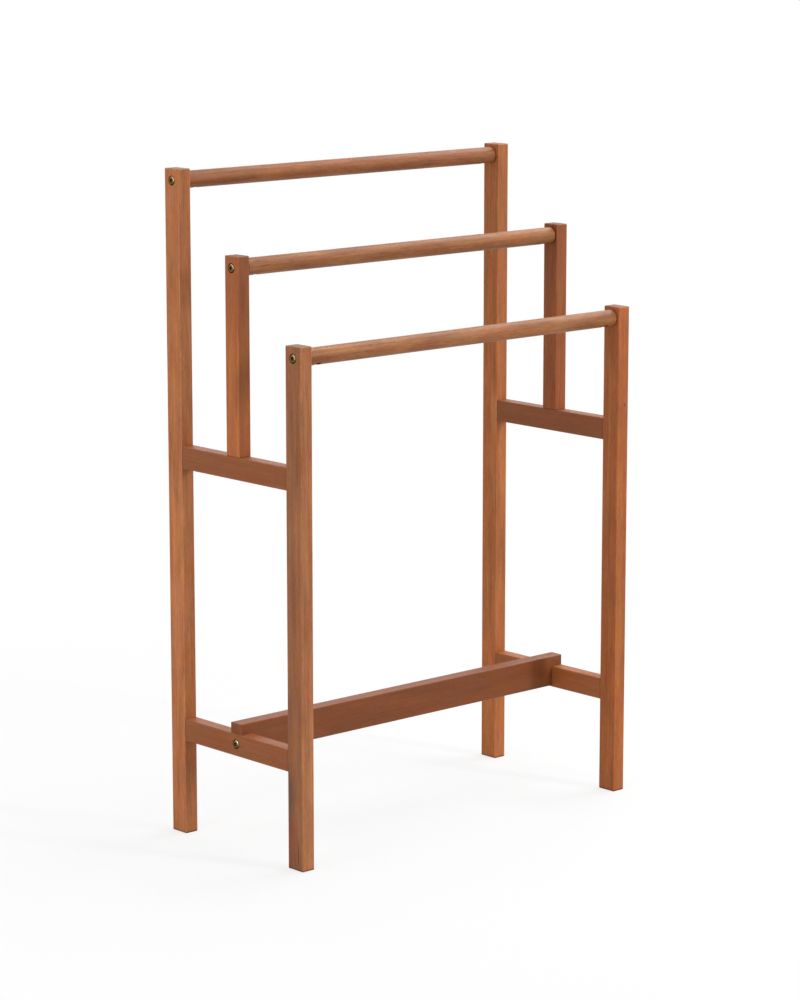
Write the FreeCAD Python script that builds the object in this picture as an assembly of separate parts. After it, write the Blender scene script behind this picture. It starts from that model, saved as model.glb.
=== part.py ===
# Freestanding wooden towel stand with three stepped towel rails.
#
# Two glued side frames stand on four legs. Each has a tall back leg, a short front leg, a middle
# post on the upper side rail, and a lower side rail. Three round towel rails and a notched
# stretcher board pull the frames together with bolts and barrel nuts, so that the stand packs flat.
#
# Millimetres. +X runs along the towel rails to the right, +Y from front to back, +Z up. The origin
# is on the floor under the middle of the stand.

import FreeCAD
import Part

import math
import os
from collections import namedtuple

V = FreeCAD.Vector
ALONG_X = V(1, 0, 0)
ALONG_Y = V(0, 1, 0)
ALONG_Z = V(0, 0, 1)

# ---- Overall sizes ----
WIDTH = 572.0                # outer face to outer face of the side frames
DEPTH = 260.0                # front of the front legs to back of the back legs
BACK_HEIGHT = 860.0          # tops of the back legs
MIDDLE_HEIGHT = 760.0        # tops of the middle posts
FRONT_HEIGHT = 660.0         # tops of the front legs

# ---- Timber sections ----
LEG_THICKNESS = 19.0         # along X, for legs and middle posts
LEG_DEPTH = 28.0             # along Y
POST_DEPTH = 25.0            # along Y
SIDE_RAIL_THICKNESS = 18.0   # along X
SIDE_RAIL_HEIGHT = 29.0
STRETCHER_THICKNESS = 20.0   # along Y
STRETCHER_HEIGHT = 41.0
TOWEL_RAIL_DIAMETER = 22.0
EDGE_RADIUS = 1.2            # sanded long edges of all the square timber
END_CHAMFER = 0.8            # sanded edges of the sawn ends that show
ROUND_END_CHAMFER = 2.0      # sanded rims of the towel rails' ends

# ---- Heights of the cross members ----
UPPER_SIDE_RAIL_BOTTOM = 480.0
LOWER_SIDE_RAIL_BOTTOM = 124.0
TOWEL_RAIL_DROP = 15.0       # from the top of a leg or post to the rail's centre line
LAP_HEIGHT = 14.0            # stretcher timber left above the lower side rail

# ---- Mortise and tenon joints of the side frames ----
TENON_THICKNESS = 8.0        # along X
TENON_SHOULDER = 4.0         # from the tenon to the edge of its rail or post
SIDE_RAIL_TENON = 16.0       # length of the tenons on the side rails, into the legs
POST_TENON = 14.0            # length of the tenon on the post's foot, into the side rail
MORTISE_CLEARANCE = 0.1      # on each face of a tenon
GLUE_SPACE = 1.0             # beyond the end of a tenon

# ---- Bolts with a hexagon socket ----
BOLT_DIAMETER = 6.0
BOLT_LENGTH = 40.0           # under the head
BOLT_TIP_CHAMFER = 0.8
HEAD_DIAMETER = 10.0
HEAD_HEIGHT = 6.0
HEAD_CHAMFER = 0.8
SOCKET_ACROSS_FLATS = 5.0
SOCKET_DEPTH = 3.0
HEAD_PROUD = 0.8             # how far the head stands out of its counterbore
HEAD_CLEARANCE = 2.5         # counterbore over head, on the diameter
SHANK_CLEARANCE = 0.6        # hole over shank, on the diameter
TIP_CLEARANCE = 3.0          # hole beyond the bolt's tip

# ---- Barrel nuts ----
NUT_DIAMETER = 10.0
NUT_LENGTH = 14.0
NUT_INSET = 17.0             # from the butting face of the cross piece to the nut's centre line
NUT_CLEARANCE = 0.3          # hole over nut, on the diameter and above it
THREAD_CLEARANCE = 0.2       # cross hole of the nut over the bolt, on the diameter
SLOT_WIDTH = 1.2             # screwdriver slot that turns the nut to meet the bolt
SLOT_DEPTH = 1.0
FRONT_RAIL_TURN = 20.0       # degrees that the front rail's nut holes face forwards from straight down

# ---- Places worked out from the sizes above, for the left side frame ----
OUTER_X = -WIDTH / 2
INNER_X = OUTER_X + LEG_THICKNESS
FRAME_X = (OUTER_X + INNER_X) / 2
SIDE_RAIL_OUTER_X = FRAME_X - SIDE_RAIL_THICKNESS / 2
SIDE_RAIL_INNER_X = FRAME_X + SIDE_RAIL_THICKNESS / 2
BACK_LEG_Y = (DEPTH - LEG_DEPTH) / 2
FRONT_LEG_Y = -BACK_LEG_Y
SIDE_RAIL_END_Y = DEPTH / 2 - LEG_DEPTH
UPPER_SIDE_RAIL_TOP = UPPER_SIDE_RAIL_BOTTOM + SIDE_RAIL_HEIGHT
LOWER_SIDE_RAIL_TOP = LOWER_SIDE_RAIL_BOTTOM + SIDE_RAIL_HEIGHT
STRETCHER_TOP = LOWER_SIDE_RAIL_TOP + LAP_HEIGHT
STRETCHER_BOTTOM = STRETCHER_TOP - STRETCHER_HEIGHT
COUNTERBORE_DEPTH = HEAD_HEIGHT - HEAD_PROUD

OVERRUN = 1.0                # how far a cutting tool passes outside the timber
SAME = 1e-6                  # two places closer than this are one

# ---- Bolted joints at the left ends of the four cross pieces ----
# Each bolt runs along X at y and z, from the outer face of an upright or side rail, through its
# inner face, into a cross piece that butts there. underside_z is that cross piece's lower surface.
# turn is how many degrees its nut holes face forwards: nothing but the bolts sets how a round rail
# is turned.
BoltedJoint = namedtuple("BoltedJoint", "outer_x inner_x y z underside_z turn", defaults=(0.0,))


def towel_rail_joint(y, timber_top, turn=0.0):
    """The joint of a towel rail, by the Y of its centre line and the top of what holds it."""
    z = timber_top - TOWEL_RAIL_DROP
    return BoltedJoint(OUTER_X, INNER_X, y, z, z - TOWEL_RAIL_DIAMETER / 2, turn)


JOINTS = {
    "back_rail": towel_rail_joint(BACK_LEG_Y, BACK_HEIGHT),
    "middle_rail": towel_rail_joint(0.0, MIDDLE_HEIGHT),
    "front_rail": towel_rail_joint(FRONT_LEG_Y, FRONT_HEIGHT, FRONT_RAIL_TURN),
    "stretcher": BoltedJoint(
        SIDE_RAIL_OUTER_X,
        SIDE_RAIL_INNER_X,
        0.0,
        (STRETCHER_BOTTOM + LOWER_SIDE_RAIL_TOP) / 2,
        STRETCHER_BOTTOM,
    ),
}


# ---- Solids that several pieces share ----
def box_between(corner, opposite, spread=V(0, 0, 0)):
    """A box between two opposite corners in any order, grown by spread both ways."""
    low = V(*map(min, corner, opposite)) - spread
    high = V(*map(max, corner, opposite)) + spread
    size = high - low
    return Part.makeBox(size.x, size.y, size.z, low)


def eased_timber(low, high, grain, shown_ends=()):
    """A sawn piece between two corners, with its long edges rounded.

    grain is the direction of its length. shown_ends lists -1 and 1 for its low and high end, where
    the end's edges are eased too; an end that butts against another piece stays sharp.
    """
    timber = box_between(low, high)
    long_edges = [edge for edge in timber.Edges if edge.tangentAt(edge.FirstParameter).dot(grain)]
    timber = timber.makeFillet(EDGE_RADIUS, long_edges)
    for end in shown_ends:
        place = (low if end < 0 else high).dot(grain)
        rim = [edge for edge in timber.Edges
               if all(abs(vertex.Point.dot(grain) - place) < SAME for vertex in edge.Vertexes)]
        timber = timber.makeChamfer(END_CHAMFER, rim)
    return timber


def hole(diameter, depth, mouth, direction):
    """The material that a drill removes, from a little outside the mouth."""
    start = mouth - direction * OVERRUN
    return Part.makeCylinder(diameter / 2, depth + OVERRUN, start, direction)


def turned(profile, start):
    """A solid turned about the X axis through start, from (distance along X, radius) points."""
    points = [start + V(along, 0, radius) for along, radius in profile]
    return Part.Face(Part.makePolygon(points + points[:1])).revolve(start, ALONG_X, 360)


def at_side(left_shape, side):
    """A shape made for the left side, or its mirror image for the right."""
    return left_shape.mirror(V(0, 0, 0), ALONG_X) if side == "right" else left_shape


def without(timber, *cuts):
    """The timber with each of the cuts taken out."""
    for cut in cuts:
        timber = timber.cut(cut)
    return timber


# ---- Fasteners and the holes that they need ----
def bolt(joint):
    """A cylinder-head bolt with a hexagon socket, its head a little proud of the outer face."""
    head_radius = HEAD_DIAMETER / 2
    shank_radius = BOLT_DIAMETER / 2
    tip = HEAD_HEIGHT + BOLT_LENGTH
    profile = [
        (0, 0),
        (0, head_radius - HEAD_CHAMFER),
        (HEAD_CHAMFER, head_radius),
        (HEAD_HEIGHT, head_radius),
        (HEAD_HEIGHT, shank_radius),
        (tip - BOLT_TIP_CHAMFER, shank_radius),
        (tip, shank_radius - BOLT_TIP_CHAMFER),
        (tip, 0),
    ]
    head_face = V(joint.outer_x - HEAD_PROUD, joint.y, joint.z)
    return turned(profile, head_face).cut(hexagon_socket(head_face))


def hexagon_socket(mouth):
    """The recess for a hexagon key, with its mouth on the bolt head's face."""
    corner_radius = SOCKET_ACROSS_FLATS / 2 / math.cos(math.pi / 6)
    corners = []
    for step in range(7):
        angle = step * math.pi / 3
        corners.append(mouth + V(0, math.cos(angle), math.sin(angle)) * corner_radius)
    return Part.Face(Part.makePolygon(corners)).extrude(ALONG_X * SOCKET_DEPTH)


def bolt_passage(joint):
    """Counterbore and through hole in the upright or side rail that the bolt passes."""
    mouth = V(joint.outer_x, joint.y, joint.z)
    counterbore = hole(HEAD_DIAMETER + HEAD_CLEARANCE, COUNTERBORE_DEPTH, mouth, ALONG_X)
    thickness = joint.inner_x - joint.outer_x
    shank_hole = hole(BOLT_DIAMETER + SHANK_CLEARANCE, thickness + OVERRUN, mouth, ALONG_X)
    return counterbore.fuse(shank_hole)


def turned_forwards(shape, joint):
    """A shape made for nut holes that face straight down, turned as the joint's cross piece is."""
    return shape.rotated(V(0, joint.y, joint.z), ALONG_X, -joint.turn)


def barrel_nut(joint):
    """A round nut that stands across the bolt, with a screwdriver slot in its lower end."""
    foot = V(joint.inner_x + NUT_INSET, joint.y, joint.z - NUT_LENGTH / 2)
    body = Part.makeCylinder(NUT_DIAMETER / 2, NUT_LENGTH, foot, ALONG_Z)
    near_side = V(foot.x - NUT_DIAMETER / 2, joint.y, joint.z)
    thread = hole(BOLT_DIAMETER + THREAD_CLEARANCE, NUT_DIAMETER + OVERRUN, near_side, ALONG_X)
    half_slot = V(NUT_DIAMETER / 2 + OVERRUN, SLOT_WIDTH / 2, SLOT_DEPTH)
    slot = box_between(foot - half_slot, foot + half_slot)
    return turned_forwards(without(body, thread, slot), joint)


def nut_pocket(joint):
    """The hole for the bolt in the cross piece's end, and the hole for the nut from below."""
    bolt_tip_x = joint.outer_x + COUNTERBORE_DEPTH + BOLT_LENGTH
    end = V(joint.inner_x, joint.y, joint.z)
    bolt_hole_depth = bolt_tip_x + TIP_CLEARANCE - joint.inner_x
    bolt_hole = hole(BOLT_DIAMETER + SHANK_CLEARANCE, bolt_hole_depth, end, ALONG_X)
    nut_mouth = V(joint.inner_x + NUT_INSET, joint.y, joint.underside_z)
    nut_hole_depth = joint.z + NUT_LENGTH / 2 + NUT_CLEARANCE - joint.underside_z
    nut_hole = hole(NUT_DIAMETER + NUT_CLEARANCE, nut_hole_depth, nut_mouth, ALONG_Z)
    return turned_forwards(bolt_hole.fuse(nut_hole), joint)


# ---- Tenons, each as its two opposite corners, from shoulder to tip ----
def side_rail_tenons(bottom):
    """The front and back tenons of the left side rail with that bottom."""
    tenons = []
    for end in (-1, 1):
        shoulder = V(
            FRAME_X - TENON_THICKNESS / 2,
            end * SIDE_RAIL_END_Y,
            bottom + TENON_SHOULDER,
        )
        tip = V(
            FRAME_X + TENON_THICKNESS / 2,
            end * (SIDE_RAIL_END_Y + SIDE_RAIL_TENON),
            bottom + SIDE_RAIL_HEIGHT - TENON_SHOULDER,
        )
        tenons.append((shoulder, tip))
    return tenons


def post_tenon():
    """The tenon under the left middle post."""
    half_width = POST_DEPTH / 2 - TENON_SHOULDER
    shoulder = V(FRAME_X - TENON_THICKNESS / 2, -half_width, UPPER_SIDE_RAIL_TOP)
    tip = V(FRAME_X + TENON_THICKNESS / 2, half_width, UPPER_SIDE_RAIL_TOP - POST_TENON)
    return shoulder, tip


def mortise(tenon, direction):
    """The pocket for a tenon: a glued fit round it, and room beyond its tip along direction."""
    fit = V(MORTISE_CLEARANCE, MORTISE_CLEARANCE, MORTISE_CLEARANCE)
    beyond_tip = direction * (GLUE_SPACE - MORTISE_CLEARANCE)
    return box_between(*tenon, spread=fit + beyond_tip)


# ---- Pieces of the left side frame ----
def leg(joint, height):
    """A leg from the floor up, bolted near its top and mortised for both side rails."""
    half_depth = LEG_DEPTH / 2
    timber = eased_timber(
        V(OUTER_X, joint.y - half_depth, 0),
        V(INNER_X, joint.y + half_depth, height),
        ALONG_Z,
        shown_ends=(-1, 1),
    )
    tenons = side_rail_tenons(UPPER_SIDE_RAIL_BOTTOM) + side_rail_tenons(LOWER_SIDE_RAIL_BOTTOM)
    mortises = [mortise(tenon, ALONG_Y) for tenon in tenons]
    return without(timber, bolt_passage(joint), *mortises)


def middle_post(joint):
    """The post that stands on the upper side rail and holds the middle towel rail."""
    timber = eased_timber(
        V(OUTER_X, -POST_DEPTH / 2, UPPER_SIDE_RAIL_TOP),
        V(INNER_X, POST_DEPTH / 2, MIDDLE_HEIGHT),
        ALONG_Z,
        shown_ends=(1,),
    )
    return without(timber.fuse(box_between(*post_tenon())), bolt_passage(joint))


def side_rail(bottom):
    """A side rail with a tenon at each end."""
    timber = eased_timber(
        V(SIDE_RAIL_OUTER_X, -SIDE_RAIL_END_Y, bottom),
        V(SIDE_RAIL_INNER_X, SIDE_RAIL_END_Y, bottom + SIDE_RAIL_HEIGHT),
        ALONG_Y,
    )
    return timber.fuse([box_between(*tenon) for tenon in side_rail_tenons(bottom)])


def upper_side_rail():
    """The side rail that carries the middle post."""
    return without(side_rail(UPPER_SIDE_RAIL_BOTTOM), mortise(post_tenon(), ALONG_Z))


def lower_side_rail(joint):
    """The side rail that carries the lapped end of the stretcher and is bolted to it."""
    return without(side_rail(LOWER_SIDE_RAIL_BOTTOM), bolt_passage(joint))


# ---- Pieces that join the two side frames ----
def towel_rail(joint):
    """A round rail that butts against the inner faces of its two legs or posts."""
    start = V(joint.inner_x, joint.y, joint.z)
    rod = Part.makeCylinder(TOWEL_RAIL_DIAMETER / 2, -2 * joint.inner_x, start, ALONG_X)
    rims = [edge for edge in rod.Edges if isinstance(edge.Curve, Part.Circle)]
    rod = rod.makeChamfer(ROUND_END_CHAMFER, rims)
    return without(rod, *at_both_ends(nut_pocket(joint)))


def stretcher(joint):
    """The notched board between the lower side rails.

    Above the notch each end laps over the side rail and stops flush with its outer face. Below it
    the board butts against the rail's inner face, where the bolt draws it up.
    """
    half_thickness = STRETCHER_THICKNESS / 2
    board = eased_timber(
        V(joint.outer_x, -half_thickness, STRETCHER_BOTTOM),
        V(-joint.outer_x, half_thickness, STRETCHER_TOP),
        ALONG_X,
        shown_ends=(-1, 1),
    )
    notch = box_between(
        V(joint.outer_x - OVERRUN, -half_thickness - OVERRUN, STRETCHER_BOTTOM - OVERRUN),
        V(joint.inner_x, half_thickness + OVERRUN, LOWER_SIDE_RAIL_TOP),
    )
    return without(board, *at_both_ends(notch), *at_both_ends(nut_pocket(joint)))


def at_both_ends(left_shape):
    """A cut at the left end and its mirror image at the right end."""
    return [at_side(left_shape, side) for side in ("left", "right")]


# ---- The assembly ----
def left_side_pieces():
    """Every piece of the left side by name: the glued side frame, the bolts and the nuts."""
    pieces = {
        "back_leg": leg(JOINTS["back_rail"], BACK_HEIGHT),
        "front_leg": leg(JOINTS["front_rail"], FRONT_HEIGHT),
        "middle_post": middle_post(JOINTS["middle_rail"]),
        "upper_side_rail": upper_side_rail(),
        "lower_side_rail": lower_side_rail(JOINTS["stretcher"]),
    }
    for name, joint in JOINTS.items():
        pieces[f"{name}_bolt"] = bolt(joint)
        pieces[f"{name}_barrel_nut"] = barrel_nut(joint)
    return pieces


def build():
    """Writes each piece to a file of its own."""
    pieces = {name: towel_rail(joint) for name, joint in JOINTS.items() if name != "stretcher"}
    pieces["stretcher"] = stretcher(JOINTS["stretcher"])
    for name, left_shape in left_side_pieces().items():
        for side in ("left", "right"):
            pieces[f"{name}_{side}"] = at_side(left_shape, side)

    os.makedirs("parts", exist_ok=True)
    for name, shape in sorted(pieces.items()):
        if not shape.isValid() or len(shape.Solids) != 1 or shape.Volume <= 0:
            raise ValueError(f"{name} isn't one sound solid")
        shape.Solids[0].exportStep(f"parts/{name}.step")
        print(f"{name}: {shape.Volume / 1000:.1f} cm3")


build()
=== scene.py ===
# The looks of a freestanding wooden towel stand: its timber, its bolts and nuts, and a studio.
#
# Metres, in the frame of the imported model: +X runs along the towel rails to the right, +Y from
# front to back, +Z up, and the origin is on the floor under the middle of the stand. Every visible
# piece is a CAD node, which keeps its mesh and gets a procedural material of its own. Inside those
# materials, sizes are in millimetres.

import math
from collections import namedtuple

import bmesh
import bpy
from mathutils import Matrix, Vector


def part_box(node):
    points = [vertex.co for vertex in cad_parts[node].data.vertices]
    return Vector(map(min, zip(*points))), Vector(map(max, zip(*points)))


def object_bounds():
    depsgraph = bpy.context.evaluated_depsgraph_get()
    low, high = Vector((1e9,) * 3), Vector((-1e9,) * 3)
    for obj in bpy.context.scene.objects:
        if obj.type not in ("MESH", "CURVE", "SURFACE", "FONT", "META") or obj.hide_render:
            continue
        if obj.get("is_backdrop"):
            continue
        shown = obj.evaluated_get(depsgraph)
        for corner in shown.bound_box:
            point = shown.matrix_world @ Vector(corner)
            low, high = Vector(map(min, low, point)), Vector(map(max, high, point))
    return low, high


MM = 0.001
# Where a Mix node of colours takes its share and its two colours, and where it gives the result
MIX_SHARE, MIX_FIRST, MIX_SECOND = 0, 6, 7
MIX_RESULT = 2

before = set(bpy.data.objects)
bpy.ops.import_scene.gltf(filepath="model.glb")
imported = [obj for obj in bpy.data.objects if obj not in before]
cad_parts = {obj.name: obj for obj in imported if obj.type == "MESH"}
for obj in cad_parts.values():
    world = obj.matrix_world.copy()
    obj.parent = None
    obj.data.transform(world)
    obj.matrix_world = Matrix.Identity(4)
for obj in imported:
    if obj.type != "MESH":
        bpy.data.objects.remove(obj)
cad_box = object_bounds()


# ---- Nodes ----
def linear(colour):
    """Display values from 0 to 255 as the scene-linear colour that nodes take."""
    shares = [value / 255 for value in colour]
    values = [
        share / 12.92 if share <= 0.04045 else ((share + 0.055) / 1.055) ** 2.4 for share in shares
    ]
    return (*values, 1.0)


def grey(value):
    """A scene-linear grey."""
    return (value, value, value, 1.0)


def tinted(colour, tint):
    """A colour times a tint, channel by channel."""
    return (*(value * factor for value, factor in zip(colour, tint)), 1.0)


class Nodes:
    """A node tree, and short ways to add to it. Inputs may be sockets or constants."""

    def __init__(self, tree):
        self.tree = tree

    def feed(self, socket, value):
        """Links an input socket to an output, or sets it to a constant."""
        if isinstance(value, bpy.types.NodeSocket):
            self.tree.links.new(value, socket)
        else:
            socket.default_value = value

    def add(self, kind, inputs=(), **settings):
        """A new shader node. inputs maps its sockets' names or numbers to what feeds them."""
        node = self.tree.nodes.new("ShaderNode" + kind)
        for name, setting in settings.items():
            setattr(node, name, setting)
        for key, value in dict(inputs).items():
            self.feed(node.inputs[key], value)
        return node

    def math(self, operation, *values, clamp=False):
        return self.add("Math", enumerate(values), operation=operation, use_clamp=clamp).outputs[0]

    def chain(self, operation, first, *others):
        """One operation over any number of values, such as MULTIPLY or MINIMUM."""
        for other in others:
            first = self.math(operation, first, other)
        return first

    def weighted(self, total, pairs):
        """A total, plus each value times its weight."""
        for value, weight in pairs:
            total = self.math("MULTIPLY_ADD", value, weight, total)
        return total

    def vector(self, operation, *values):
        node = self.add("VectorMath", enumerate(values), operation=operation)
        return node.outputs["Value" if operation == "LENGTH" else "Vector"]

    def combine(self, x, y, z):
        return self.add("CombineXYZ", enumerate((x, y, z))).outputs[0]

    def separate(self, vector):
        return self.add("SeparateXYZ", {0: vector}).outputs[:]

    def step(self, value, start, end, low=0.0, high=1.0):
        """low up to start, high from end on, and smooth between. start may be above end."""
        if start > end:
            start, end, low, high = end, start, high, low
        inputs = {"Value": value, "From Min": start, "From Max": end, "To Min": low, "To Max": high}
        return self.add("MapRange", inputs, interpolation_type="SMOOTHSTEP").outputs["Result"]

    def noise(self, place, detail=2.0, roughness=0.5):
        """Clouds about one unit across, from 0 to 1."""
        inputs = {"Vector": place, "Scale": 1.0, "Detail": detail, "Roughness": roughness}
        return self.add("TexNoise", inputs).outputs["Fac"]

    def mix(self, share, first, second, blend="MIX"):
        """The colour first where share is 0, and second where it is 1."""
        inputs = {MIX_SHARE: share, MIX_FIRST: first, MIX_SECOND: second}
        return self.add("Mix", inputs, data_type="RGBA", blend_type=blend).outputs[MIX_RESULT]

    def tint(self, colour, share, tint):
        """The colour, multiplied by a tint where share is 1."""
        return self.mix(share, colour, (*tint, 1.0), "MULTIPLY")

    def scaled(self, colour, factor):
        """The colour, made lighter or darker by a factor."""
        return self.vector("MULTIPLY", colour, self.combine(factor, factor, factor))

    def drift(self, colour, share, first, second):
        """The colour, multiplied by a tint that goes from first to second as share rises."""
        return self.mix(1.0, colour, self.mix(share, (*first, 1.0), (*second, 1.0)), "MULTIPLY")

    def bump(self, surface, height, strength, distance):
        """Raises a surface shader's skin by distance, in millimetres, where height is 1."""
        inputs = {"Strength": strength, "Distance": distance * MM, "Height": height}
        self.feed(surface.inputs["Normal"], self.add("Bump", inputs).outputs[0])

    def place_mm(self):
        """The place on the piece, in millimetres of the frame."""
        return self.vector("MULTIPLY", self.add("TexCoord").outputs["Object"], (1 / MM,) * 3)


def new_material(name):
    """A material, its nodes, and its surface shader."""
    material = bpy.data.materials.new(name)
    material.use_nodes = True
    return material, Nodes(material.node_tree), material.node_tree.nodes["Principled BSDF"]


def box_mm(node):
    """A node's lowest and highest corners, in millimetres."""
    return [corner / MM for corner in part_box(node)]


# ---- The boards ----
# A tint multiplies a colour, channel by channel. The darkest and palest grain, against the tone:
DARK_GRAIN = (0.55, 0.44, 0.38)
PALE_GRAIN = (1.45, 1.56, 1.62)
# Two slow drifts of hue over a board
LESS_RED, MORE_RED = (0.97, 1.03, 1.04), (1.04, 0.96, 0.92)
LESS_GREY, MORE_GREY = (1.0, 0.99, 0.84), (1.0, 1.01, 1.2)
# Sawn across the grain, legs' and posts' ends are darker than the rest, and greyer with a painted
# sheen
DARK_END_AND_SHEEN = (0.56, 0.76, 1.1)
PLAIN_END = (0.97, 1.0, 1.12)
# Places that many boards have
WORN_EDGE = (1.16, 1.2, 1.26)
SCRATCHED = (1.15, 1.2, 1.26)
DARK_FOOT = (0.52, 0.46, 0.42)
RAW_AND_SHADED_HOLE = (0.5, 0.42, 0.36)
SEAM_AND_SHADE_LINE = (0.42, 0.34, 0.30)
# Marks of single boards
STAIN = (0.62, 0.55, 0.50)
KNOT = (0.50, 0.42, 0.38)
CRACK = (0.52, 0.46, 0.44)
WEATHERED = (0.66, 0.80, 0.94)
BRUISED = (0.88, 0.68, 0.86)
RUBBED = (1.16, 1.28, 1.45)
# The next tint is partly the board's own paler wood and partly painted light on the lower parts of
# legs and posts
PALE_AND_LIT = (1.12, 1.18, 1.24)

# What pieces of one kind share: the axis of the grain, how strong its lines are, how blotchy it
# is, how rough it is sanded, the tint of its end grain, and which of its ends, at -1 and 1, butt
# against another piece.
Kind = namedtuple("Kind", "grain figure mottle roughness end_tint butts")
KINDS = {
    "leg": Kind("Z", 0.9, 1.0, 0.45, DARK_END_AND_SHEEN, ()),
    "post": Kind("Z", 0.8, 1.0, 0.45, DARK_END_AND_SHEEN, (-1,)),
    "side_rail": Kind("Y", 0.4, 0.5, 0.45, PLAIN_END, (-1, 1)),
    "stretcher": Kind("X", 0.4, 0.6, 0.46, PLAIN_END, ()),
    "towel_rail": Kind("X", 0.8, 1.6, 0.36, PLAIN_END, (-1, 1)),
}

# What sets one board apart. tone is its mean colour as displayed. The heart of its log lies pith
# mm from the board's middle, in the direction turn, so that the two set how growth rings cross the
# faces. side_tone is how light the faces along X are against the faces along Y, and fade is painted
# shade: how much darker the upper end is than the middle, standing in for light brighter lower
# down.
Board = namedtuple("Board", "kind tone pith turn side_tone fade marks", defaults=(1.0, 0.0, ()))
# An oval mark about a place of the frame, with half lengths reach, and what it does to the colour
Mark = namedtuple("Mark", "place reach tint")

BOARDS = {
    "back_leg_left": Board(
        "leg", (175, 107, 62), 70, 200, 1.26, 0.08,
        marks=(Mark((-280, 111, 428), (14, 24, 90), PALE_AND_LIT),),
    ),
    "back_leg_right": Board(
        "leg", (179, 106, 56), 55, 75, 1.02, 0.16,
        marks=(
            Mark((267, 106, 488), (4, 11, 46), RUBBED),
            Mark((276, 104, 420), (16, 22, 150), PALE_AND_LIT),
        ),
    ),
    "front_leg_left": Board(
        "leg", (162, 102, 63), 90, 160, 0.73, 0.05,
        marks=(
            Mark((-286, -116, 400), (7, 26, 120), PALE_AND_LIT),
            Mark((-275, -130, 150), (16, 7, 70), PALE_AND_LIT),
            Mark((-286, -104, 97), (5, 17, 46), WEATHERED),
            Mark((-286, -107, 34), (5, 17, 46), BRUISED),
            Mark((-286, -121, 20), (3, 1.1, 24), CRACK),
            Mark((-286, -115, 12), (3, 0.9, 15), CRACK),
        ),
    ),
    "front_leg_right": Board(
        "leg", (173, 98, 49), 60, 110, 0.92, 0.05,
        marks=(Mark((279.4, -130, 529), (2.6, 3, 3.4), KNOT),),
    ),
    "middle_post_left": Board(
        "post", (159, 90, 45), 80, 20, 1.39, 0.10,
        marks=(Mark((-286, 0, 550), (7, 22, 55), PALE_AND_LIT),),
    ),
    "middle_post_right": Board("post", (147, 80, 38), 65, 140, 0.84, 0.14),
    "upper_side_rail_left": Board("side_rail", (145, 83, 44), 75, 80),
    "upper_side_rail_right": Board("side_rail", (140, 79, 42), 60, 250),
    "lower_side_rail_left": Board("side_rail", (150, 86, 46), 90, 300),
    "lower_side_rail_right": Board("side_rail", (163, 95, 48), 70, 60),
    "stretcher": Board("stretcher", (132, 73, 37), 85, 95),
    "back_rail": Board("towel_rail", (141, 83, 42), 50, 30),
    "middle_rail": Board(
        "towel_rail", (147, 91, 48), 45, 120,
        marks=(
            Mark((-252, -9, 752), (9, 4, 1.6), STAIN),
            Mark((-240, -11, 746), (14, 4, 1.2), STAIN),
        ),
    ),
    "front_rail": Board("towel_rail", (156, 98, 55), 60, 210),
}

# ---- Timber ----
# Which of X, Y and Z runs across the board, up it and along its grain
AXES = {"X": (1, 2, 0), "Y": (0, 2, 1), "Z": (0, 1, 2)}
# What a board's seed does to its grain: a shift across, up and along, a turn in radians of the way
# its rings lean, and a shift from ring to ring
SEED_SHIFT = (37.0, 53.0, 911.0)
SEED_TURN = 2.4
SEED_RING_SHIFT = 5.0

# Clouds: how wide they are, how long along the grain, and for some their detail and its roughness
STREAKS = (1.8, 110, 4.0, 0.6)
FIBRES = (0.45, 22, 2.0, 0.6)
FLECKS = (2.6, 13, 2.0, 0.6)
PATCHES = (13, 75)
RED_CLOUDS = (9, 60, 3.0, 0.55)
GREY_CLOUDS = (7, 34, 3.0, 0.55)
SCRATCHES = (1.0, 18)
EDGE_CLOUDS = (3, 12)
RING_CLOUDS = (45, 260)

# Growth rings: about how wide a band of them is, how far they wander to and fro, how far they lean
# across the board for each millimetre along it, and the length over which they change
RING_WIDTH = 2.8
RING_WANDER = 9.0
RING_LEAN = 0.02
RING_LENGTH = 300.0

# Pores: the room that one has across, up and along, its radius in the darkest rings as a share of
# that room, how much less the radius is in the palest rings, and how dark pores are
PORE_ROOM = (0.62, 0.62, 6.0)
PORE_RADIUS = 0.42
PORE_SHRINK = 0.25
PORE_SHARE = 0.35

# Steps, from where there is none of a thing to where it is whole. In clouds from 0 to 1:
RED_STEP = (0.36, 0.64)
GREY_STEP = (0.38, 0.66)
SCRATCH_STEP = (0.60, 0.72)
# In how squarely a surface faces an axis, from 0 to 1:
SIDE_STEP = (0.3, 0.9)
END_STEP = (0.6, 0.9)
# In millimetres from a round rail's end, from the floor and from a shoulder:
RIM_STEP = (2.6, 1.4)
FOOT_STEP = (3.2, 1.5)
SEAM_STEP = (1.1, 0.3)
# In millimetres into square and round timber:
HOLE_STEP = (0.5, 1.0)
ROUND_HOLE_STEP = (1.1, 1.6)
# In shares of a worn edge's width and of a mark's reach:
EDGE_STEP = (1.0, 0.45)
MARK_STEP = (1.0, 0.35)

# A worn edge's least width, how much wider it gets, and how unevenly a mark ends
EDGE_WIDTH = 0.6
EDGE_SPREAD = 2.6
MARK_UNEVEN = 0.6
WOOD_SPECULAR = 0.28

# What lightens and darkens the grain
Layers = namedtuple("Layers", "rings streaks fibres flecks patches")


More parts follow.
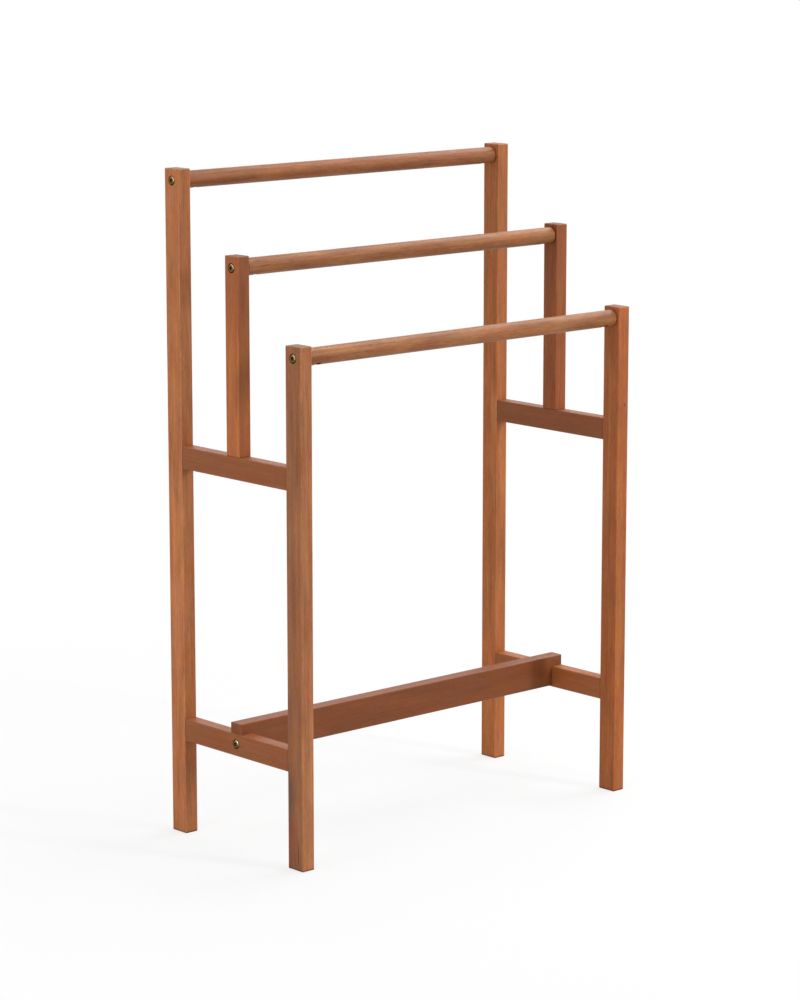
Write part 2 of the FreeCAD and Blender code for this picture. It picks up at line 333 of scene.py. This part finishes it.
class Timber:
    """One board inside its material: places in millimetres from its middle, and its clouds."""

    def __init__(self, node, nodes, seed):
        self.nodes = nodes
        self.board = BOARDS[node]
        self.kind = KINDS[self.board.kind]
        self.is_round = self.board.kind == "towel_rail"
        self.seed = seed
        low, high = box_mm(node)
        order = AXES[self.kind.grain]
        self.place = nodes.place_mm()
        centred = nodes.separate(nodes.vector("SUBTRACT", self.place, (low + high) / 2))
        self.across, self.up, self.along = (centred[axis] for axis in order)
        self.half_sizes = [(high - low)[axis] / 2 for axis in order]
        normals = nodes.separate(nodes.add("TexCoord").outputs["Normal"])
        self.facing = [nodes.math("ABSOLUTE", normals[axis]) for axis in order]
        local = nodes.combine(self.across, self.up, self.along)
        self.sample = nodes.vector("ADD", local, tuple(seed * shift for shift in SEED_SHIFT))

    def clouds(self, width, length, detail=2.0, roughness=0.5):
        """Clouds drawn out along the grain, from 0 to 1."""
        stretched = self.nodes.vector("DIVIDE", self.sample, (width, width, length))
        return self.nodes.noise(stretched, detail, roughness)

    def depths(self):
        """How far a place lies in from the sides across the board, up it and along it."""
        pairs = zip(self.half_sizes, (self.across, self.up, self.along))
        return [
            self.nodes.math("SUBTRACT", half, self.nodes.math("ABSOLUTE", value))
            for half, value in pairs
        ]


def wood(node, seed):
    """Oiled reddish-brown hardwood, sawn from its log as the board's entry says."""
    material, nodes, surface = new_material(f"wood_{node}")
    timber = Timber(node, nodes, seed)
    layers = grain_layers(timber)
    pores = pore_mask(timber, layers.rings)
    ends = nodes.step(timber.facing[2], *END_STEP)
    edges = worn_edges(timber)

    colour = board_shades(timber, grain_colour(timber, layers, pores))
    for share, tint in tinted_places(timber, ends, edges, layers.flecks):
        colour = nodes.tint(colour, share, tint)
    nodes.feed(surface.inputs["Base Color"], colour)

    changes = ((layers.streaks, 0.16), (pores, 0.1), (ends, 0.03), (edges, -0.08))
    nodes.feed(surface.inputs["Roughness"], nodes.weighted(timber.kind.roughness, changes))
    surface.inputs["Specular IOR Level"].default_value = WOOD_SPECULAR
    relief = nodes.weighted(0.0, ((layers.fibres, 0.6), (pores, -0.7)))
    nodes.bump(surface, relief, strength=0.35, distance=0.1)
    return material


def grain_layers(timber):
    """The patterns in the grain, each from 0 to 1."""
    return Layers(
        rings=growth_rings(timber),
        streaks=timber.clouds(*STREAKS),
        fibres=timber.clouds(*FIBRES),
        flecks=timber.clouds(*FLECKS),
        patches=timber.clouds(*PATCHES),
    )


def grain_shade(timber, layers):
    """How light the grain is, from 0 to 1. Each layer is 0.5 on average, and so is this."""
    nodes, kind = timber.nodes, timber.kind
    weights = Layers(
        rings=0.8 * kind.figure,
        streaks=0.75 * kind.figure,
        fibres=0.35,
        flecks=0.45 * kind.mottle,
        patches=0.8 * kind.mottle,
    )
    shade = nodes.weighted(0.5 - sum(weights) / 2, zip(layers, weights))
    return nodes.math("MAXIMUM", nodes.math("MINIMUM", shade, 1.0), 0.0)


def grain_colour(timber, layers, pores):
    """The board's tone, with its grain, slow drifts of hue, and dark pores."""
    nodes = timber.nodes
    tone = linear(timber.board.tone)
    dark = tinted(tone, DARK_GRAIN)
    colour = nodes.mix(grain_shade(timber, layers), dark, tinted(tone, PALE_GRAIN))
    redness = nodes.step(timber.clouds(*RED_CLOUDS), *RED_STEP)
    colour = nodes.drift(colour, redness, LESS_RED, MORE_RED)
    greyness = nodes.step(timber.clouds(*GREY_CLOUDS), *GREY_STEP)
    colour = nodes.drift(colour, greyness, LESS_GREY, MORE_GREY)
    return nodes.mix(nodes.math("MULTIPLY", pores, PORE_SHARE), colour, dark)


def board_shades(timber, colour):
    """The colour, with the board's two pairs of faces told apart and its upper end darker with
    painted shade.
    """
    nodes, board = timber.nodes, timber.board
    if board.side_tone != 1.0:
        spread = math.sqrt(board.side_tone)
        factor = nodes.step(timber.facing[0], *SIDE_STEP, 1 / spread, spread)
        colour = nodes.scaled(colour, factor)
    if board.fade:
        slope = -board.fade / timber.half_sizes[2]
        colour = nodes.scaled(colour, nodes.math("MULTIPLY_ADD", timber.along, slope, 1.0))
    return colour


def tinted_places(timber, ends, edges, flecks):
    """Each place where a tint covers the grain, as a share from 0 to 1 and the tint."""
    # The end grain's own tint; on legs and posts it also paints a grey sheen
    yield ends, timber.kind.end_tint
    yield edges, WORN_EDGE
    if timber.board.kind == "leg":
        yield foot_edge(timber), DARK_FOOT
    if timber.is_round:
        yield timber.nodes.step(timber.clouds(*SCRATCHES), *SCRATCH_STEP), SCRATCHED
    for mark in timber.board.marks:
        yield oval(timber, mark, flecks), mark.tint
    yield hole_walls(timber), RAW_AND_SHADED_HOLE
    for end in timber.kind.butts:
        yield seam(timber, end), SEAM_AND_SHADE_LINE


def turned(length, turn):
    """The two coordinates of a point at a distance from the middle, at a turn in radians."""
    return length * math.cos(turn), length * math.sin(turn)


def growth_rings(timber):
    """Bands of light and dark wood on surfaces about the pith, which lean and wander a little."""
    nodes = timber.nodes
    pith = turned(timber.board.pith, math.radians(timber.board.turn))
    leans = turned(RING_LEAN, timber.seed * SEED_TURN)
    offsets = [
        nodes.math("SUBTRACT", nodes.math("MULTIPLY_ADD", timber.along, lean, value), heart)
        for value, lean, heart in zip((timber.across, timber.up), leans, pith)
    ]
    distance = nodes.vector("LENGTH", nodes.combine(*offsets, 0.0))
    clouds = timber.clouds(*RING_CLOUDS)
    wander = nodes.math("MULTIPLY_ADD", clouds, RING_WANDER, -RING_WANDER / 2)
    band = nodes.math("DIVIDE", nodes.math("ADD", distance, wander), RING_WIDTH)
    slow = nodes.math("DIVIDE", timber.along, RING_LENGTH)
    place = nodes.combine(band, slow, timber.seed * SEED_RING_SHIFT)
    return nodes.noise(place, detail=3.0, roughness=0.6)


def pore_mask(timber, rings):
    """Short dark dashes along the grain, larger in the dark rings."""
    nodes = timber.nodes
    place = nodes.vector("DIVIDE", timber.sample, PORE_ROOM)
    from_middle = nodes.add("TexVoronoi", {"Vector": place, "Scale": 1.0}).outputs["Distance"]
    radius = nodes.math("MULTIPLY_ADD", rings, -PORE_SHRINK, PORE_RADIUS)
    return nodes.math("LESS_THAN", from_middle, radius)


def worn_edges(timber):
    """The unevenly worn edges of square timber, or the rims of a round rail's ends."""
    nodes = timber.nodes
    across, up, along = timber.depths()
    if timber.is_round:
        return nodes.step(along, *RIM_STEP)
    # Near a long edge, both depths are small. Near an end's edge, the end's and one other are.
    long_edge = nodes.math("MAXIMUM", across, up)
    end_edge = nodes.math("MAXIMUM", nodes.math("MINIMUM", across, up), along)
    nearest = nodes.math("MINIMUM", long_edge, end_edge)
    width = nodes.math("MULTIPLY_ADD", timber.clouds(*EDGE_CLOUDS), EDGE_SPREAD, EDGE_WIDTH)
    return nodes.step(nodes.math("DIVIDE", nearest, width), *EDGE_STEP)


def foot_edge(timber):
    """The lowest few millimetres of a leg, painted darker."""
    above_floor = timber.nodes.separate(timber.place)[2]
    return timber.nodes.step(above_floor, *FOOT_STEP)


def hole_walls(timber):
    """What lies deeper than the eased edges do is inside a hole or a joint: raw wood, darkened
    further with painted shade.
    """
    nodes = timber.nodes
    across, up, along = timber.depths()
    if not timber.is_round:
        return nodes.step(nodes.chain("MINIMUM", across, up, along), *HOLE_STEP)
    from_axis = nodes.vector("LENGTH", nodes.combine(timber.across, timber.up, 0.0))
    inwards = nodes.math("SUBTRACT", timber.half_sizes[0], from_axis)
    return nodes.step(nodes.math("MINIMUM", inwards, along), *ROUND_HOLE_STEP)


def oval(timber, mark, breaks):
    """1 in the middle of a mark, and 0 outside it, with an uneven edge."""
    nodes = timber.nodes
    reach = nodes.vector("DIVIDE", nodes.vector("SUBTRACT", timber.place, mark.place), mark.reach)
    uneven = nodes.math("MULTIPLY_ADD", breaks, MARK_UNEVEN, -MARK_UNEVEN / 2)
    return nodes.step(nodes.math("ADD", nodes.vector("LENGTH", reach), uneven), *MARK_STEP)


def seam(timber, end):
    """The dark line where an end butts against another piece: a dark joint, deepened with painted
    contact shade.
    """
    nodes, grain = timber.nodes, timber.kind.grain
    shoulder = {
        "X": end * timber.half_sizes[2],
        "Y": end * -box_mm("front_leg_left")[1].y,
        "Z": box_mm("upper_side_rail_left")[1].z,
    }
    axis = AXES[grain][2]
    gap = nodes.math("SUBTRACT", nodes.separate(timber.place)[axis], shoulder[grain])
    return nodes.step(nodes.math("ABSOLUTE", gap), *SEAM_STEP)


# ---- Metal ----
# Colours as displayed. A dull metal's clouds go from its first colour to its second.
DULL_BRASS = ((84, 68, 32), (122, 102, 58))
GLINT_BRASS = (226, 202, 168)
# The socket's colour: partly worn paler by the hex key, partly painted light that lifts the shade
# in its hollow
PALE_SOCKET_BRASS = (132, 112, 58)
RIM_TINT = (0.7, 0.66, 0.55)
DULL_STEEL = ((84, 78, 66), (128, 120, 104))

# How wide clouds are, the size of a scratch along X, Y and Z, and lathe marks for each millimetre
BRASS_CLOUDS = 1.6
STEEL_CLOUDS = 1.8
STEEL_SCRATCH = (2.5, 0.15, 0.15)
LATHE_MARKS = 7.0

# Where a bolt head's rim and socket lie, in millimetres from the bolt's axis and in from its end.
# A glint is painted on the rim where its millimetres above the axis and before it add up to enough,
# and where the clouds are pale.
RIM_FROM_AXIS, RIM_FROM_END = (4.1, 4.5), (1.4, 0.7)
SOCKET_FROM_AXIS, SOCKET_FROM_END = (3.3, 3.0), (0.2, 0.9)
GLINT_PLACE, GLINT_CLOUDS = (3.0, 5.5), (0.34, 0.5)


def clouded(nodes, place, width, shades):
    """Clouds of a width, and the colour that goes with them from one shade to another."""
    stretched = nodes.vector("DIVIDE", place, (width,) * 3)
    clouds = nodes.noise(stretched, detail=4.0, roughness=0.6)
    return clouds, nodes.mix(clouds, *(linear(shade) for shade in shades))


def brass(node):
    """An antique-brass bolt: dull, with a painted glint on the upper front of its rim, and a socket
    painted paler, partly worn and partly painted light. The hidden shank has the socket's colour."""
    material, nodes, surface = new_material(f"brass_{node}")
    low, high = box_mm(node)
    place = nodes.vector("SUBTRACT", nodes.place_mm(), (low + high) / 2)
    x, y, z = nodes.separate(place)
    from_axis = nodes.vector("LENGTH", nodes.combine(0.0, y, z))
    from_end = nodes.math("SUBTRACT", (high - low).x / 2, nodes.math("ABSOLUTE", x))

    def both(axis_step, end_step):
        """1 where the distances from the axis and from the end are both past their steps."""
        past_axis_step = nodes.step(from_axis, *axis_step)
        past_end_step = nodes.step(from_end, *end_step)
        return nodes.math("MULTIPLY", past_axis_step, past_end_step)

    rim = both(RIM_FROM_AXIS, RIM_FROM_END)
    socket = both(SOCKET_FROM_AXIS, SOCKET_FROM_END)
    clouds, colour = clouded(nodes, place, BRASS_CLOUDS, DULL_BRASS)
    # A painted glint of the lamps, on the upper front of the rim
    upper_front = nodes.step(nodes.math("SUBTRACT", z, y), *GLINT_PLACE)
    painted_glint = nodes.chain("MULTIPLY", rim, upper_front, nodes.step(clouds, *GLINT_CLOUDS))
    colour = nodes.tint(colour, rim, RIM_TINT)
    colour = nodes.mix(painted_glint, colour, linear(GLINT_BRASS))
    colour = nodes.mix(socket, colour, linear(PALE_SOCKET_BRASS))

    nodes.feed(surface.inputs["Base Color"], colour)
    surface.inputs["Metallic"].default_value = 1.0
    roughness = nodes.weighted(0.28, ((clouds, 0.25), (painted_glint, -0.12)))
    nodes.feed(surface.inputs["Roughness"], roughness)
    lathe_place = nodes.combine(nodes.math("MULTIPLY", from_axis, LATHE_MARKS), 0.0, 0.0)
    nodes.bump(surface, nodes.noise(lathe_place), strength=0.3, distance=0.05)
    return material


def steel(node):
    """A dull plated barrel nut, with fine scratches across it."""
    material, nodes, surface = new_material(f"steel_{node}")
    place = nodes.place_mm()
    clouds, colour = clouded(nodes, place, STEEL_CLOUDS, DULL_STEEL)
    scratches = nodes.noise(nodes.vector("DIVIDE", place, STEEL_SCRATCH))
    nodes.feed(surface.inputs["Base Color"], colour)
    surface.inputs["Metallic"].default_value = 1.0
    roughness = nodes.weighted(0.3, ((clouds, 0.2), (scratches, 0.1)))
    nodes.feed(surface.inputs["Roughness"], roughness)
    nodes.bump(surface, scratches, strength=0.25, distance=0.05)
    return material


def finish(node, seed):
    """The material of a CAD node."""
    if "bolt" in node:
        return brass(node)
    if "nut" in node:
        return steel(node)
    return wood(node, seed)


for seed, node in enumerate(sorted(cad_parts)):
    material = finish(node, seed)
    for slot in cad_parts[node].material_slots:
        slot.material = material


# ---- Camera ----
def look_at(thing, place, target):
    """Puts a new camera or lamp at a place, facing a target."""
    thing.location = place
    thing.rotation_euler = (Vector(target) - Vector(place)).to_track_quat("-Z", "Y").to_euler()
    bpy.context.scene.collection.objects.link(thing)


CAMERA_AZIMUTH = math.radians(-42.18)
CAMERA_ELEVATION = math.radians(10.79)
CAMERA_DISTANCE = 4.413
CAMERA_LENS_MM = 121.73
CAMERA_TARGET = Vector((-0.0051, 0.0, 0.4184))

towards_camera = Vector((
    math.sin(CAMERA_AZIMUTH) * math.cos(CAMERA_ELEVATION),
    -math.cos(CAMERA_AZIMUTH) * math.cos(CAMERA_ELEVATION),
    math.sin(CAMERA_ELEVATION),
))
camera = bpy.data.objects.new("camera", bpy.data.cameras.new("camera"))
camera.data.lens = CAMERA_LENS_MM
look_at(camera, CAMERA_TARGET + towards_camera * CAMERA_DISTANCE, CAMERA_TARGET)
bpy.context.scene.camera = camera
bpy.context.scene.view_settings.view_transform = "Standard"

# ---- Light ----
# Soft boxes all round, and a narrow, tall key lamp whose shadows show. Power is in watts.
Lamp = namedtuple("Lamp", "name place width height power")
LAMPS = (
    Lamp("key", (1.45, -3.6, 2.03), 0.4, 1.6, 61),
    Lamp("top", (0.25, -0.15, 2.4), 1.4, 1.4, 14.5),
    Lamp("top_right", (1.5, 0.3, 1.95), 1.0, 1.0, 12.5),
    Lamp("right", (2.1, -0.5, 1.4), 1.0, 1.6, 18.5),
    Lamp("back_right", (1.6, 1.8, 1.1), 1.2, 1.2, 4.6),
    Lamp("back", (0.5, 2.2, 1.6), 1.6, 1.2, 6.6),
    Lamp("left_back", (-1.7, 1.1, 1.5), 1.0, 1.4, 4.5),
    Lamp("left", (-2.0, -0.3, 0.9), 1.0, 1.6, 14.5),
    Lamp("front", (-0.3, -2.8, 0.9), 1.6, 1.6, 6.8),
)
LAMP_TARGET = (0, 0, 0.45)
for lamp in LAMPS:
    light = bpy.data.lights.new(lamp.name, "AREA")
    light.shape = "RECTANGLE"
    light.size = lamp.width
    light.size_y = lamp.height
    light.energy = lamp.power
    look_at(bpy.data.objects.new(lamp.name, light), lamp.place, LAMP_TARGET)


def seen(nodes):
    """1 for what the camera sees, itself, reflected or through glass, and 0 for lighting."""
    path = nodes.add("LightPath").outputs
    straight = nodes.math("ADD", path["Is Camera Ray"], path["Is Glossy Ray"], clamp=True)
    return nodes.math("ADD", straight, path["Is Transmission Ray"], clamp=True)


# The world is white to the eye, and this bright where it lights the stand
WORLD_LIGHT = 0.25
world = bpy.data.worlds.new("studio")
world.use_nodes = True
bpy.context.scene.world = world
sky = Nodes(world.node_tree)
background = world.node_tree.nodes["Background"]
background.inputs["Color"].default_value = grey(1.0)
sky.feed(background.inputs["Strength"], sky.step(seen(sky), 0.0, 1.0, WORLD_LIGHT, 1.0))

# ---- Floor ----
FLOOR_SIZE = 16.0
LIT_GREY = grey(0.5)
SHADED_GREY = grey(0.9)
# From the first distance from the middle to the second, in metres, the floor goes from the first
# share of white to the second
WHITE_RADII = (0.4, 1.4)
WHITE_SHARES = (0.75, 1.0)


def pale_floor():
    """White to the eye, with a faint shadow near the stand, and a plain mid grey to the light."""
    material, nodes, surface = new_material("pale_floor")
    lit = nodes.add("BsdfDiffuse", {"Color": LIT_GREY})
    shaded = nodes.add("BsdfDiffuse", {"Color": SHADED_GREY})
    white = nodes.add("Emission", {"Color": grey(1.0), "Strength": 1.0})
    from_middle = nodes.vector("LENGTH", nodes.add("TexCoord").outputs["Object"])
    whiteness = nodes.step(from_middle, *WHITE_RADII, *WHITE_SHARES)
    shown = nodes.add("MixShader", {0: whiteness, 1: shaded.outputs[0], 2: white.outputs[0]})
    either = nodes.add("MixShader", {0: seen(nodes), 1: lit.outputs[0], 2: shown.outputs[0]})
    nodes.feed(nodes.tree.nodes["Material Output"].inputs["Surface"], either.outputs[0])
    nodes.tree.nodes.remove(surface)
    return material


floor_mesh = bpy.data.meshes.new("floor")
sheet = bmesh.new()
bmesh.ops.create_grid(sheet, x_segments=1, y_segments=1, size=FLOOR_SIZE / 2)
sheet.to_mesh(floor_mesh)
sheet.free()
floor_mesh.materials.append(pale_floor())
floor = bpy.data.objects.new("floor", floor_mesh)
bpy.context.scene.collection.objects.link(floor)
floor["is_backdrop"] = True

boxes = [[list(corner) for corner in box] for box in (cad_box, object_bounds())]
